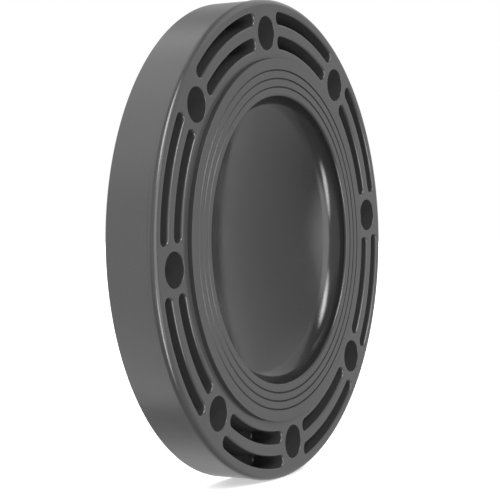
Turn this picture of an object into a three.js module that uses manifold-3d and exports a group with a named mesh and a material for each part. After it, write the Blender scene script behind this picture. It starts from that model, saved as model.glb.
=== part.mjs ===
// Blind flange with a loose backing ring, in moulded grey PVC-U.
//
// Millimetres. The flange stands upright: its axis lies along Y and +Z is up. The origin is on
// the axis, in the plane of the sealing face, which faces -Y. The rest lies behind that plane,
// at positive Y.
//
// A dished disc closes the pipe. Its collar sits in the counterbore of the backing ring, which
// the bolts pull on, and its domed back reaches through the bore of the ring. The ring can
// therefore be turned about the disc until its holes meet those of the mating flange.

import * as THREE from 'three';
import { mergeVertices } from 'three/addons/utils/BufferGeometryUtils.js';
import Module from 'manifold-3d';

const wasm = await Module();
wasm.setup();

// Bolting
const BOLT_COUNT = 8;
const BOLT_CIRCLE_RADIUS = 147.5;
const BOLT_HOLE_RADIUS = 12;
const CLOCKING = THREE.MathUtils.degToRad(6); // of the first hole, anticlockwise from the top

// Backing ring
const RING_THICKNESS = 38;
const LIP_RADIUS = 171.5;
const LIP_ROUND = 4.5; // rounded front edge, which ends at the mould's parting line
const LIP_LAND = 0.4; // straight edge of the lip behind the round
const LIP_STEP = 0.5; // from the lip down to the side wall
const SIDE_TAPER = 0.4; // draft of the side wall, on the radius, from the lip to the back
const BACK_ROUND = 1;
const COUNTERBORE_DEPTH = 15;
const BORE_CHAMFER = 1;

// Weight-saving pockets in the front of the ring: two rows, and a pair between each two holes
const POCKET_ROWS = [
  { inner: 137.1, outer: 145.8 },
  { inner: 154.5, outer: 163 },
];
const POCKET_DEPTH = 25;
const POCKET_CORNER = 4;
const POCKET_TO_HOLE_LINE = 17; // from the end of a pocket to the radial line through a hole

// Blind disc
const FACE_RISE = 3.3; // height of the sealing face above the front of the ring
const COLLAR_RADIUS = 129.5;
const HUB_RADIUS = 112; // where the domed back leaves the collar
const GROOVE_RADII = [109, 115, 121];
const GROOVE_WIDTH = 1.4;
const GROOVE_DEPTH = 1.5;
const GROOVE_CHAMFER = 0.7;
const MOUTH_ROUND = 2;
const DISH_RADIUS = 102.6; // where the mouth's round meets the corner of the dish
const DISH_CORNER = 14.5; // concave round from the mouth down to the floor
const DISH_SPHERE = 245; // of the floor
const WEB_THICKNESS = 10;

// Fits
const RUNNING_GAP = 0.35; // between collar and counterbore, and between hub and bore
const SEAT_GAP = 0.3; // between the collar's back and the counterbore's floor

// Smoothness of the faceted solids
const TURN_STEPS = 72;
const HOLE_STEPS = 32;
const LIP_STEPS = 4;
const DISH_CORNER_STEPS = 6;
const DISH_FLOOR_STEPS = 7;
const POCKET_ARC_STEPS = 6;
const POCKET_CORNER_STEPS = 4;
const SMALL_ROUND_STEPS = 3;

// Derived places along Y
const ring = {
  front: FACE_RISE,
  back: FACE_RISE + RING_THICKNESS,
  seat: FACE_RISE + COUNTERBORE_DEPTH,
};
const disc = {
  collarBack: ring.seat - SEAT_GAP,
  sphereCentre: MOUTH_ROUND - Math.sqrt(
    (DISH_SPHERE - DISH_CORNER) ** 2 - (DISH_RADIUS - DISH_CORNER) ** 2,
  ),
};

const QUARTER_TURN = Math.PI / 2;
const HALF_PITCH = Math.PI / BOLT_COUNT;

// Points along an arc, both ends included. Angles run from the first axis to the second.
function arc(centreX, centreY, radius, start, end, steps) {
  return Array.from({ length: steps + 1 }, (_, i) => {
    const angle = start + ((end - start) * i) / steps;
    return new THREE.Vector2(
      centreX + radius * Math.cos(angle),
      centreY + radius * Math.sin(angle),
    );
  });
}

function point(radius, y) {
  return new THREE.Vector2(radius, y);
}

// A solid for cutting from a closed three.js geometry
function solidFrom(geometry) {
  const bare = geometry.clone();
  bare.deleteAttribute('normal');
  bare.deleteAttribute('uv');
  const merged = mergeVertices(bare, 1e-4);
  const corners = [];
  for (let i = 0; i < merged.index.count; i += 3) {
    const [a, b, c] = [0, 1, 2].map((k) => merged.index.getX(i + k));
    if (a !== b && b !== c && c !== a) {
      corners.push(a, b, c);
    }
  }
  return new wasm.Manifold(new wasm.Mesh({
    numProp: 3,
    vertProperties: Float32Array.from(merged.attributes.position.array),
    triVerts: Uint32Array.from(corners),
  }));
}

function geometryFrom(solid) {
  const mesh = solid.getMesh();
  const geometry = new THREE.BufferGeometry();
  geometry.setAttribute('position', new THREE.BufferAttribute(mesh.vertProperties, mesh.numProp));
  geometry.setIndex(new THREE.BufferAttribute(mesh.triVerts, 1));
  return geometry;
}

// Section of the ring, anticlockwise in radius and Y, starting where the counterbore opens
function ringProfile() {
  const counterbore = COLLAR_RADIUS + RUNNING_GAP;
  const bore = HUB_RADIUS + RUNNING_GAP;
  const lipEnd = ring.front + LIP_ROUND + LIP_LAND;
  const wallFront = LIP_RADIUS - LIP_STEP;
  const wallBack = wallFront - SIDE_TAPER;
  return [
    point(counterbore, ring.front),
    ...arc(
      LIP_RADIUS - LIP_ROUND, ring.front + LIP_ROUND, LIP_ROUND,
      -QUARTER_TURN, 0, LIP_STEPS,
    ),
    point(LIP_RADIUS, lipEnd),
    point(wallFront, lipEnd + LIP_STEP / 2),
    ...arc(
      wallBack - BACK_ROUND, ring.back - BACK_ROUND, BACK_ROUND,
      0, QUARTER_TURN, SMALL_ROUND_STEPS,
    ),
    point(bore + BORE_CHAMFER, ring.back),
    point(bore, ring.back - BORE_CHAMFER),
    point(bore, ring.seat),
    point(counterbore, ring.seat),
    point(counterbore, ring.front),
  ];
}

function boltHole() {
  const overshoot = 2;
  const hole = new THREE.CylinderGeometry(
    BOLT_HOLE_RADIUS, BOLT_HOLE_RADIUS, RING_THICKNESS + 2 * overshoot, HOLE_STEPS,
  );
  hole.translate(BOLT_CIRCLE_RADIUS, (ring.front + ring.back) / 2, 0);
  return hole;
}

// Outline of a pocket centred on the first axis. Its ends are parallel to the radial lines
// through the two holes beside it, and its four corners are rounded.
function pocketOutline({ inner, outer }) {
  const offset = POCKET_TO_HOLE_LINE + POCKET_CORNER;
  const outerCentre = outer - POCKET_CORNER;
  const innerCentre = inner + POCKET_CORNER;
  const outerAngle = HALF_PITCH - Math.asin(offset / outerCentre);
  const innerAngle = HALF_PITCH - Math.asin(offset / innerCentre);
  const endNormal = HALF_PITCH + QUARTER_TURN;
  const corner = (distance, angle, start, end) => arc(
    distance * Math.cos(angle), distance * Math.sin(angle), POCKET_CORNER,
    start, end, POCKET_CORNER_STEPS,
  );
  return [
    ...arc(0, 0, outer, -outerAngle, outerAngle, POCKET_ARC_STEPS).slice(1, -1),
    ...corner(outerCentre, outerAngle, outerAngle, endNormal),
    ...corner(innerCentre, innerAngle, endNormal, Math.PI + innerAngle),
    ...arc(0, 0, inner, innerAngle, -innerAngle, POCKET_ARC_STEPS).slice(1, -1),
    ...corner(innerCentre, -innerAngle, Math.PI - innerAngle, 2 * Math.PI - endNormal),
    ...corner(outerCentre, -outerAngle, -endNormal, -outerAngle),
  ];
}

// The space of one pocket, midway between two holes, from in front of the ring to its floor
function pocket(row) {
  const overshoot = 2;
  const space = new THREE.ExtrudeGeometry(new THREE.Shape(pocketOutline(row)), {
    depth: POCKET_DEPTH + overshoot,
    bevelEnabled: false,
  });
  space.rotateX(QUARTER_TURN);
  space.translate(0, ring.front + POCKET_DEPTH, 0);
  return space;
}

function backingRing() {
  let body = solidFrom(new THREE.LatheGeometry(ringProfile(), TURN_STEPS));
  for (let i = 0; i < BOLT_COUNT; i += 1) {
    const holeAngle = QUARTER_TURN + CLOCKING + 2 * HALF_PITCH * i;
    const pocketAngle = holeAngle + HALF_PITCH;
    body = body.subtract(solidFrom(boltHole().rotateY(-holeAngle)));
    for (const row of POCKET_ROWS) {
      body = body.subtract(solidFrom(pocket(row).rotateY(-pocketAngle)));
    }
  }
  return geometryFrom(body);
}

// The dish from its centre out to the sealing face: floor, corner and mouth
function dishProfile() {
  const cornerRadius = DISH_RADIUS - DISH_CORNER;
  const floorEnd = Math.acos(cornerRadius / (DISH_SPHERE - DISH_CORNER));
  return [
    point(0, disc.sphereCentre + DISH_SPHERE),
    ...arc(
      0, disc.sphereCentre, DISH_SPHERE,
      QUARTER_TURN, floorEnd, DISH_FLOOR_STEPS,
    ).slice(1, -1),
    ...arc(cornerRadius, MOUTH_ROUND, DISH_CORNER, floorEnd, 0, DISH_CORNER_STEPS),
    ...arc(
      DISH_RADIUS + MOUTH_ROUND, MOUTH_ROUND, MOUTH_ROUND,
      Math.PI, 1.5 * Math.PI, SMALL_ROUND_STEPS,
    ).slice(1),
  ];
}

// A groove that grips the gasket, chamfered on its inner side and square on its outer side
function grooveProfile(radius) {
  const inner = radius - GROOVE_WIDTH / 2;
  const outer = radius + GROOVE_WIDTH / 2;
  return [
    point(inner, 0),
    point(inner + GROOVE_CHAMFER, GROOVE_CHAMFER),
    point(inner + GROOVE_CHAMFER, GROOVE_DEPTH),
    point(outer, GROOVE_DEPTH),
    point(outer, 0),
  ];
}

// The domed back: the dish's sphere one web further back, from the hub in to the axis
function domeProfile() {
  const sphere = DISH_SPHERE + WEB_THICKNESS;
  const start = Math.acos(HUB_RADIUS / sphere);
  return [
    ...arc(0, disc.sphereCentre, sphere, start, QUARTER_TURN, DISH_FLOOR_STEPS).slice(0, -1),
    point(0, disc.sphereCentre + sphere),
  ];
}

function blindDisc() {
  return new THREE.LatheGeometry([
    ...dishProfile(),
    ...GROOVE_RADII.flatMap(grooveProfile),
    point(COLLAR_RADIUS, 0),
    point(COLLAR_RADIUS, disc.collarBack),
    point(HUB_RADIUS, disc.collarBack),
    ...domeProfile(),
  ], TURN_STEPS);
}

function part(name, geometry, material) {
  const mesh = new THREE.Mesh(geometry, material);
  mesh.name = name;
  return mesh;
}

const ringPlastic = new THREE.MeshStandardMaterial({
  color: 0x4c4d4f,
  roughness: 0.45,
  metalness: 0,
});
const discPlastic = new THREE.MeshStandardMaterial({
  color: 0x48494b,
  roughness: 0.35,
  metalness: 0,
});

const flange = new THREE.Group();
flange.add(part('backing_ring', backingRing(), ringPlastic));
flange.add(part('blind_disc', blindDisc(), discPlastic));

export default flange;
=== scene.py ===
import math

import bmesh
import bpy
from mathutils import Matrix, Vector
from mathutils.geometry import tessellate_polygon


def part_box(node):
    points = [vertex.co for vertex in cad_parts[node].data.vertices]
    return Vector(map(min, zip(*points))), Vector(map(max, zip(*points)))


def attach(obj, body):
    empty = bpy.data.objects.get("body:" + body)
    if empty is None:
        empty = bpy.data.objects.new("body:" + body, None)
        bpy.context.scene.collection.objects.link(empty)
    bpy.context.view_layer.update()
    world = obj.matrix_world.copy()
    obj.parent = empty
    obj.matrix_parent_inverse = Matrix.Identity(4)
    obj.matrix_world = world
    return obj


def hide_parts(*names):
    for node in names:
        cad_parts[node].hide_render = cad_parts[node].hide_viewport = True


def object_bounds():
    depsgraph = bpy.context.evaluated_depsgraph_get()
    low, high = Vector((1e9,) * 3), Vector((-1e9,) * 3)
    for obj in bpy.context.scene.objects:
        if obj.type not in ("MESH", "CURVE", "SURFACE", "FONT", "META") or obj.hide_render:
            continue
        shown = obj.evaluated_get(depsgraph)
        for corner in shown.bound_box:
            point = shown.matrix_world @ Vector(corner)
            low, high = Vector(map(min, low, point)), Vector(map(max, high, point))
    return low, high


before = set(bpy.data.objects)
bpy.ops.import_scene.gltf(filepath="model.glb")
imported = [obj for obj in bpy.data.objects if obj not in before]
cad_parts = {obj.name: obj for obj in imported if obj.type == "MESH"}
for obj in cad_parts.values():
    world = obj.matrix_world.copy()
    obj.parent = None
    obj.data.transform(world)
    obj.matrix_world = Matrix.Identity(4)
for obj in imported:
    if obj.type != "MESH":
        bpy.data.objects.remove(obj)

# The flange stands upright in the frame of the CAD model: its axis lies along Y, the sealing face
# looks along -Y in the plane y = 0, and +Z is up. Lengths are in metres, angles in radians.
CAD_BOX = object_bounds()
RING_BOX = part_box("backing_ring")
DISC_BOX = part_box("blind_disc")
MM = 0.001
QUARTER_TURN = math.pi / 2
TURN_STEPS = 360

# Backing ring
RING_FRONT = RING_BOX[0].y
RING_BACK = RING_BOX[1].y
LIP_RADIUS = RING_BOX[1].x
LIP_ROUND = 4.5 * MM
LIP_LAND = 0.4 * MM
LIP_STEP = 0.5 * MM
STEP_ROUND = 0.2 * MM
SIDE_TAPER = 0.4 * MM
BACK_ROUND = 1 * MM
BORE_ROUND = 1 * MM
COUNTERBORE_EDGE = 0.1 * MM
SEAT_DEPTH = 15 * MM
RUNNING_GAP = 0.35 * MM
VISIBLE_GAP = 0.05 * MM
SEAT_GAP = 0.3 * MM

BOLT_COUNT = 8
BOLT_CIRCLE_RADIUS = 147.5 * MM
BOLT_HOLE_RADIUS = 12 * MM
BOLT_HOLE_ROUND = 0.5 * MM
CLOCKING = math.radians(6)
HALF_PITCH = math.pi / BOLT_COUNT

POCKET_ROWS = [(137.1 * MM, 145.8 * MM), (154.5 * MM, 163 * MM)]
POCKET_DEPTH = 25 * MM
POCKET_CORNER = 4 * MM
POCKET_TO_HOLE_LINE = 17 * MM
POCKET_ROUND = 1.6 * MM
POCKET_FLOOR_ROUND = 1.5 * MM

# Blind disc
COLLAR_RADIUS = DISC_BOX[1].x
COLLAR_ROUND = 0.3 * MM
HUB_RADIUS = 112 * MM
GROOVE_RADII = [109 * MM, 115 * MM, 121 * MM]
GROOVE_WIDTH = 1.4 * MM
GROOVE_DEPTH = 1.5 * MM
GROOVE_CHAMFER = 0.7 * MM
GROOVE_EDGE = 0.1 * MM
MOUTH_ROUND = 2 * MM
DISH_RADIUS = 102.6 * MM
DISH_CORNER = 14.5 * MM
DISH_SPHERE = 245 * MM
WEB_THICKNESS = 10 * MM
CORNER_RADIUS = DISH_RADIUS - DISH_CORNER
SPHERE_Y = MOUTH_ROUND - math.sqrt((DISH_SPHERE - DISH_CORNER) ** 2 - CORNER_RADIUS**2)

# The camera, as the photograph was taken: a long lens to the left of the flange
VIEW_AZIMUTH = math.radians(-61.25)
VIEW_ELEVATION = math.radians(1.67)
VIEW_ROLL = math.radians(0.98)
VIEW_DISTANCE = 1.305
VIEW_AIM = Vector((-0.0449, RING_FRONT, -0.0057))
VIEW_LENS_MM = 135.1
SENSOR_MM = 36

# Tone and roughness of each finish
RING_FINISH = (0.042, 0.18)
FACE_FINISH = (0.041, 0.4)
DISH_FINISH = (0.019, 0.12)


def toward(azimuth, elevation):
    """The direction from the object to a place at that azimuth, from -Y towards +X, and height."""
    level = math.cos(elevation)
    return Vector((math.sin(azimuth) * level, -math.cos(azimuth) * level, math.sin(elevation)))


def make_camera():
    data = bpy.data.cameras.new("view_camera")
    data.lens = VIEW_LENS_MM
    data.sensor_width = SENSOR_MM
    data.clip_start = 0.05
    data.clip_end = 50
    camera = bpy.data.objects.new("view_camera", data)
    bpy.context.scene.collection.objects.link(camera)
    back = toward(VIEW_AZIMUTH, VIEW_ELEVATION)
    upright = (-back).to_track_quat("-Z", "Y")
    camera.rotation_mode = "QUATERNION"
    camera.rotation_quaternion = Matrix.Rotation(VIEW_ROLL, 3, -back).to_quaternion() @ upright
    camera.location = VIEW_AIM + VIEW_DISTANCE * back
    bpy.context.scene.camera = camera


# ---- Outlines -------------------------------------------------------------------------------


def arc(centre, radius, start, end, steps):
    """Points of an arc in a plane, both ends included."""
    return [
        (centre[0] + radius * math.cos(angle), centre[1] + radius * math.sin(angle))
        for angle in (start + (end - start) * i / steps for i in range(steps + 1))
    ]


def circle(radius, steps, centre=(0, 0)):
    return arc(centre, radius, 0, 2 * math.pi * (steps - 1) / steps, steps - 1)


def turned(points, angle):
    turn_cos, turn_sin = math.cos(angle), math.sin(angle)
    return [(x * turn_cos - z * turn_sin, x * turn_sin + z * turn_cos) for x, z in points]


def pocket_outline(row, grow):
    """Outline of a pocket centred on X, moved outward everywhere by grow."""
    arc_steps, corner_steps = 28, 8
    inner, outer = row
    corner = POCKET_CORNER + grow
    offset = POCKET_TO_HOLE_LINE + POCKET_CORNER
    outer_centre = outer - POCKET_CORNER
    inner_centre = inner + POCKET_CORNER
    outer_angle = HALF_PITCH - math.asin(offset / outer_centre)
    inner_angle = HALF_PITCH - math.asin(offset / inner_centre)
    end_normal = HALF_PITCH + QUARTER_TURN

    def corner_arc(distance, angle, start, end):
        centre = (distance * math.cos(angle), distance * math.sin(angle))
        return arc(centre, corner, start, end, corner_steps)

    return [
        *arc((0, 0), outer + grow, -outer_angle, outer_angle, arc_steps)[1:-1],
        *corner_arc(outer_centre, outer_angle, outer_angle, end_normal),
        *corner_arc(inner_centre, inner_angle, end_normal, math.pi + inner_angle),
        *arc((0, 0), inner - grow, inner_angle, -inner_angle, arc_steps)[1:-1],
        *corner_arc(inner_centre, -inner_angle, math.pi - inner_angle, 2 * math.pi - end_normal),
        *corner_arc(outer_centre, -outer_angle, -end_normal, -outer_angle),
    ]


# ---- Meshes ---------------------------------------------------------------------------------


class Shell:
    """A closed mesh built from loops of points that lie in planes across the axis."""

    def __init__(self):
        self.mesh = bmesh.new()

    def loop(self, points, y):
        return [self.mesh.verts.new((x, y, z)) for x, z in points]

    def bridge(self, first, second):
        count = len(first)
        for i in range(count):
            j = (i + 1) % count
            self.mesh.faces.new((first[i], first[j], second[j], second[i]))

    def chain(self, loops):
        for first, second in zip(loops, loops[1:]):
            self.bridge(first, second)

    def plate(self, loops):
        """A flat face inside the first loop and outside the others."""
        corners = [vert for loop in loops for vert in loop]
        for triangle in tessellate_polygon([[vert.co for vert in loop] for loop in loops]):
            self.mesh.faces.new([corners[i] for i in triangle])

    def fan(self, loop, y):
        """Triangles from a loop to a point on the axis."""
        middle = self.mesh.verts.new((0, y, 0))
        for i, vert in enumerate(loop):
            self.mesh.faces.new((vert, loop[(i + 1) % len(loop)], middle))

    def finish(self, name, material, body, node):
        bmesh.ops.recalc_face_normals(self.mesh, faces=self.mesh.faces)
        data = bpy.data.meshes.new(name)
        self.mesh.to_mesh(data)
        self.mesh.free()
        data.shade_smooth()
        data.materials.append(material)
        piece = bpy.data.objects.new(name, data)
        bpy.context.scene.collection.objects.link(piece)
        weighted = piece.modifiers.new("weighted_normals", "WEIGHTED_NORMAL")
        weighted.weight = 100
        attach(piece, body)
        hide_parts(node)
        return piece


def rounded_opening(shell, outline, face_y, inward, radius, steps=5):
    """Loops of an opening's rounded edge, from the face to the straight wall. outline(grow) is
    the opening moved outward by grow, and inward is +1 where the wall runs along +Y."""
    loops = []
    for i in range(steps + 1):
        angle = QUARTER_TURN * i / steps
        grow = radius * (1 - math.sin(angle))
        depth = radius * (1 - math.cos(angle))
        loops.append(shell.loop(outline(grow), face_y + inward * depth))
    return loops


def bolt_hole(shell, angle):
    """A hole with rounded edges. Returns its loops in the front face and in the back face."""
    centre = (BOLT_CIRCLE_RADIUS * math.cos(angle), BOLT_CIRCLE_RADIUS * math.sin(angle))

    def outline(grow):
        return circle(BOLT_HOLE_RADIUS + grow, 72, centre)

    front = rounded_opening(shell, outline, RING_FRONT, 1, BOLT_HOLE_ROUND)
    back = rounded_opening(shell, outline, RING_BACK, -1, BOLT_HOLE_ROUND)
    shell.chain(front + back[::-1])
    return front[0], back[0]


def pocket(shell, row, angle):
    """A blind pocket with a rounded mouth and a rounded floor. Returns its loop in the face."""

    def outline(grow):
        return turned(pocket_outline(row, grow), angle)

    mouth = rounded_opening(shell, outline, RING_FRONT, 1, POCKET_ROUND)
    floor = []
    steps = 4
    for i in range(steps + 1):
        turn = QUARTER_TURN * i / steps
        shrink = POCKET_FLOOR_ROUND * (1 - math.cos(turn))
        rise = POCKET_FLOOR_ROUND * (1 - math.sin(turn))
        floor.append(shell.loop(outline(-shrink), RING_FRONT + POCKET_DEPTH - rise))
    shell.chain(mouth + floor)
    shell.plate([floor[-1]])
    return mouth[0]


def make_ring(material):
    shell = Shell()
    front_holes, back_holes = [], []
    for i in range(BOLT_COUNT):
        hole_angle = QUARTER_TURN + CLOCKING + 2 * HALF_PITCH * i
        front, back = bolt_hole(shell, hole_angle)
        front_holes.append(front)
        back_holes.append(back)
        for row in POCKET_ROWS:
            front_holes.append(pocket(shell, row, hole_angle + HALF_PITCH))

    counterbore = COLLAR_RADIUS + VISIBLE_GAP
    bore = HUB_RADIUS + RUNNING_GAP
    lip_end = RING_FRONT + LIP_ROUND + LIP_LAND
    wall_front = LIP_RADIUS - LIP_STEP
    wall_back = wall_front - SIDE_TAPER
    outside = [
        *arc((LIP_RADIUS - LIP_ROUND, RING_FRONT + LIP_ROUND), LIP_ROUND, -QUARTER_TURN, 0, 12),
        *arc((LIP_RADIUS - STEP_ROUND, lip_end), STEP_ROUND, 0, QUARTER_TURN, 3),
        *arc(
            (wall_front + STEP_ROUND, lip_end + 2 * STEP_ROUND),
            STEP_ROUND, -QUARTER_TURN, -math.pi, 3,
        ),
        *arc((wall_back - BACK_ROUND, RING_BACK - BACK_ROUND), BACK_ROUND, 0, QUARTER_TURN, 6),
    ]
    inside = [
        *arc((bore + BORE_ROUND, RING_BACK - BORE_ROUND), BORE_ROUND, QUARTER_TURN, math.pi, 5),
        (bore, RING_FRONT + SEAT_DEPTH),
        (counterbore, RING_FRONT + SEAT_DEPTH),
        *arc(
            (counterbore + COUNTERBORE_EDGE, RING_FRONT + COUNTERBORE_EDGE),
            COUNTERBORE_EDGE, math.pi, 1.5 * math.pi, 3,
        ),
    ]
    outer_loops = [shell.loop(circle(radius, TURN_STEPS), y) for radius, y in outside]
    inner_loops = [shell.loop(circle(radius, TURN_STEPS), y) for radius, y in inside]
    shell.chain(outer_loops)
    shell.chain(inner_loops)
    shell.plate([outer_loops[0], inner_loops[-1], *front_holes])
    shell.plate([outer_loops[-1], inner_loops[0], *back_holes])
    return shell.finish("ring_moulding", material, "ring", "backing_ring")


def dish_profile():
    """From near the centre of the dish out to the sealing face: floor, corner and mouth."""
    floor_end = math.acos(CORNER_RADIUS / (DISH_SPHERE - DISH_CORNER))
    return [
        *arc((0, SPHERE_Y), DISH_SPHERE, QUARTER_TURN, floor_end, 40)[1:-1],
        *arc((CORNER_RADIUS, MOUTH_ROUND), DISH_CORNER, floor_end, 0, 24),
        *arc(
            (DISH_RADIUS + MOUTH_ROUND, MOUTH_ROUND),
            MOUTH_ROUND, math.pi, 1.5 * math.pi, 12,
        )[1:],
    ]


def groove_profile(radius):
    """A narrow groove, chamfered on its inner side and square on its outer side."""
    inner, outer = radius - GROOVE_WIDTH / 2, radius + GROOVE_WIDTH / 2
    root = inner + GROOVE_CHAMFER
    return [
        (inner - GROOVE_EDGE, 0),
        (inner + GROOVE_EDGE, GROOVE_EDGE),
        (root, GROOVE_CHAMFER),
        (root, GROOVE_DEPTH),
        (outer, GROOVE_DEPTH),
        *arc((outer + GROOVE_EDGE, GROOVE_EDGE), GROOVE_EDGE, math.pi, 1.5 * math.pi, 2),
    ]


def dome_profile():
    """The domed back, one web behind the floor of the dish, from the hub in towards the axis."""
    sphere = DISH_SPHERE + WEB_THICKNESS
    return arc((0, SPHERE_Y), sphere, math.acos(HUB_RADIUS / sphere), QUARTER_TURN, 40)[:-1]


def make_disc(material):
    collar_back = RING_FRONT + SEAT_DEPTH - SEAT_GAP
    profile = [
        *dish_profile(),
        *[place for radius in GROOVE_RADII for place in groove_profile(radius)],
        *arc((COLLAR_RADIUS - COLLAR_ROUND, COLLAR_ROUND), COLLAR_ROUND, -QUARTER_TURN, 0, 3),
        (COLLAR_RADIUS, collar_back),
        (HUB_RADIUS, collar_back),
        *dome_profile(),
    ]
    shell = Shell()
    loops = [shell.loop(circle(radius, TURN_STEPS), y) for radius, y in profile]
    shell.chain(loops)
    shell.fan(loops[0], SPHERE_Y + DISH_SPHERE)
    shell.fan(loops[-1], SPHERE_Y + DISH_SPHERE + WEB_THICKNESS)
    return shell.finish("disc_moulding", material, "disc", "blind_disc")


# ---- Materials ------------------------------------------------------------------------------


class Nodes:
    """A short way to write a node tree."""

    def __init__(self, tree):
        self.tree = tree
        self.tree.nodes.clear()

    def add(self, kind, inputs=None, **settings):
        node = self.tree.nodes.new(kind)
        for name, value in settings.items():
            setattr(node, name, value)
        for key, value in (inputs or {}).items():
            if isinstance(value, bpy.types.NodeSocket):
                self.tree.links.new(value, node.inputs[key])
            else:
                node.inputs[key].default_value = value
        return node

    def math(self, operation, a, b=0.0):
        return self.add("ShaderNodeMath", {0: a, 1: b}, operation=operation).outputs[0]

    def span(self, value, low, high, new_low, new_high, kind="LINEAR"):
        names = ("Value", "From Min", "From Max", "To Min", "To Max")
        inputs = dict(zip(names, (value, low, high, new_low, new_high)))
        return self.add("ShaderNodeMapRange", inputs, interpolation_type=kind).outputs[0]

    def noise(self, place, scale, detail=4.0):
        node = self.add("ShaderNodeTexNoise", {"Vector": place, "Scale": scale, "Detail": detail})
        return node.outputs["Fac"]

    def bump(self, height, distance, normal=None):
        inputs = {"Height": height, "Distance": distance, "Strength": 1.0}
        if normal is not None:
            inputs["Normal"] = normal
        return self.add("ShaderNodeBump", inputs).outputs["Normal"]


def surface(nodes, place, tone, roughness):
    """Shader of one finish: cloudy tone, orange peel, fine grain, and scuffs that dull it."""
    clouds = nodes.noise(place, 9.0, 3.0)
    speckle = nodes.noise(place, 900.0, 2.0)
    peel = nodes.noise(place, 110.0, 2.0)
    scuffs = nodes.noise(place, 38.0, 8.0)

    cloudy = nodes.span(clouds, 0.3, 0.7, 0.94, 1.06)
    shade = nodes.math("ADD", cloudy, nodes.span(speckle, 0.3, 0.7, -0.05, 0.05))
    colour = nodes.add("ShaderNodeMix", data_type="RGBA", blend_type="MULTIPLY")
    colour.inputs["Factor"].default_value = 1.0
    colour.inputs["A"].default_value = (tone, tone, tone, 1)
    nodes.tree.links.new(shade, colour.inputs["B"])

    dulled = nodes.span(scuffs, 0.35, 0.7, roughness - 0.03, roughness + 0.06)
    grained = nodes.bump(speckle, 0.00002)
    return nodes.add("ShaderNodeBsdfPrincipled", {
        "Base Color": colour.outputs["Result"],
        "Roughness": dulled,
        "IOR": 1.5,
        "Normal": nodes.bump(peel, 0.00005, grained),
    }).outputs["BSDF"]


def moulded_plastic(name, tone, roughness):
    material = bpy.data.materials.new(name)
    material.use_nodes = True
    nodes = Nodes(material.node_tree)
    place = nodes.add("ShaderNodeTexCoord").outputs["Object"]
    output = nodes.add("ShaderNodeOutputMaterial")
    nodes.tree.links.new(surface(nodes, place, tone, roughness), output.inputs["Surface"])
    return material


def disc_plastic():
    """The sealing face is matt, and the dish inside it is polished."""
    material = bpy.data.materials.new("disc_plastic")
    material.use_nodes = True
    nodes = Nodes(material.node_tree)
    place = nodes.add("ShaderNodeTexCoord").outputs["Object"]
    parts = nodes.add("ShaderNodeSeparateXYZ", {0: place})
    across = nodes.add("ShaderNodeCombineXYZ", {"X": parts.outputs["X"], "Z": parts.outputs["Z"]})
    radius = nodes.add("ShaderNodeVectorMath", {0: across.outputs[0]}, operation="LENGTH")
    matt = nodes.span(radius.outputs["Value"], DISH_RADIUS, DISH_RADIUS + MOUTH_ROUND, 0, 1)
    mix = nodes.add("ShaderNodeMixShader", {
        0: matt,
        1: surface(nodes, place, *DISH_FINISH),
        2: surface(nodes, place, *FACE_FINISH),
    })
    output = nodes.add("ShaderNodeOutputMaterial")
    nodes.tree.links.new(mix.outputs[0], output.inputs["Surface"])
    return material


# ---- Studio ---------------------------------------------------------------------------------


def make_floor():
    """A white light table: it takes the shadow, and lets the studio light through from below."""
    half, z = 6.0, CAD_BOX[0].z
    data = bpy.data.meshes.new("studio_floor")
    corners = [(-half, -half, z), (half, -half, z), (half, half, z), (-half, half, z)]
    data.from_pydata(corners, [], [(0, 1, 2, 3)])
    material = bpy.data.materials.new("pale_floor")
    material.use_nodes = True
    shader = material.node_tree.nodes["Principled BSDF"]
    shader.inputs["Base Color"].default_value = (0.9, 0.9, 0.9, 1)
    shader.inputs["Roughness"].default_value = 0.9
    shader.inputs["Emission Color"].default_value = (1, 1, 1, 1)
    shader.inputs["Emission Strength"].default_value = 0.45
    data.materials.append(material)
    floor = bpy.data.objects.new("studio_floor", data)
    bpy.context.scene.collection.objects.link(floor)
    floor.visible_shadow = False
    floor.visible_glossy = False
    floor.visible_diffuse = False


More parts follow.
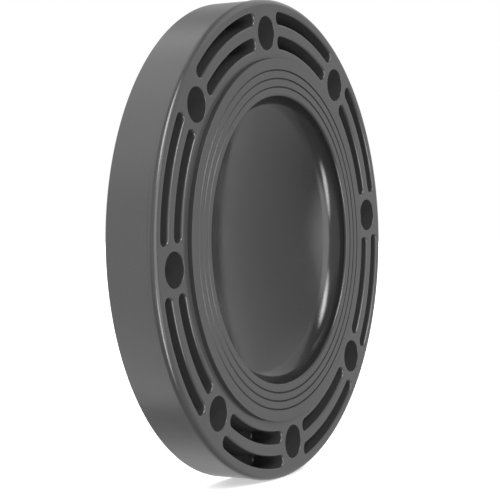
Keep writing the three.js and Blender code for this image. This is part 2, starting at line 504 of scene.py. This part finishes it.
# The light around the object: an even ambient light, and soft-edged oval windows, each with a
# name, azimuth, elevation, half width, half height and softness of its edge in degrees, and
# radiance
AMBIENT = 0.22
WINDOWS = [
    ("key_high", -22.5, 39, 9, 16, 6, 14.0),
    ("fill_high", -11, 30, 12, 13, 8, 1.6),
    ("key_low", -28, -31, 9, 16, 4.5, 11.0),
    ("glow", -1, -1, 22, 24, 6, 2.7),
    ("right", 62, 16, 45, 48, 15, 0.38),
    ("right_high", 62, 36, 42, 18, 12, 0.45),
    ("right_low", 62, -38, 42, 18, 12, 0.2),
    ("left", -46, 0, 45, 45, 20, 0.52),
    ("back_left", -155, 18, 64, 86, 14, 1.3),
    ("back_right", 130, 0, 35, 80, 15, 0.3),
    ("back_low", 168, -62, 50, 26, 20, 0.4),
    ("overhead", -140, 50, 30, 25, 15, 0.5),
]


def window(nodes, direction, azimuth, elevation, half_width, half_height, softness, radiance):
    """Radiance of one soft-edged oval window of light."""
    centre = toward(math.radians(azimuth), math.radians(elevation))
    across = toward(math.radians(azimuth + 90), 0)
    upward = across.cross(centre)

    def along(axis):
        inputs = {0: direction, 1: tuple(axis)}
        return nodes.add("ShaderNodeVectorMath", inputs, operation="DOT_PRODUCT").outputs["Value"]

    def offset(axis, half):
        angle = nodes.math("ARCTAN2", along(axis), along(centre))
        return nodes.math("DIVIDE", angle, math.radians(half))

    parts = {0: offset(across, half_width), 1: offset(upward, half_height)}
    place = nodes.add("ShaderNodeCombineXYZ", parts).outputs[0]
    far = nodes.add("ShaderNodeVectorMath", {0: place}, operation="LENGTH").outputs["Value"]
    edge = softness / half_width
    return nodes.span(far, 1 - edge, 1 + edge, radiance, 0, "SMOOTHSTEP")


def make_studio():
    world = bpy.data.worlds.new("studio")
    bpy.context.scene.world = world
    world.use_nodes = True
    nodes = Nodes(world.node_tree)
    direction = nodes.add("ShaderNodeTexCoord").outputs["Generated"]
    total = AMBIENT
    for _, *place in WINDOWS:
        total = nodes.math("ADD", window(nodes, direction, *place), total)
    lit = nodes.add("ShaderNodeBackground", {"Color": (1, 1, 1, 1), "Strength": total})
    seen = nodes.add("ShaderNodeBackground", {"Color": (1, 1, 1, 1), "Strength": 1.0})
    path = nodes.add("ShaderNodeLightPath")
    mix = nodes.add("ShaderNodeMixShader", {
        0: path.outputs["Is Camera Ray"],
        1: lit.outputs[0],
        2: seen.outputs[0],
    })
    output = nodes.add("ShaderNodeOutputWorld")
    nodes.tree.links.new(mix.outputs[0], output.inputs["Surface"])
    bpy.context.scene.view_settings.view_transform = "Standard"


make_camera()
make_ring(moulded_plastic("ring_plastic", *RING_FINISH))
make_disc(disc_plastic())
make_floor()
make_studio()
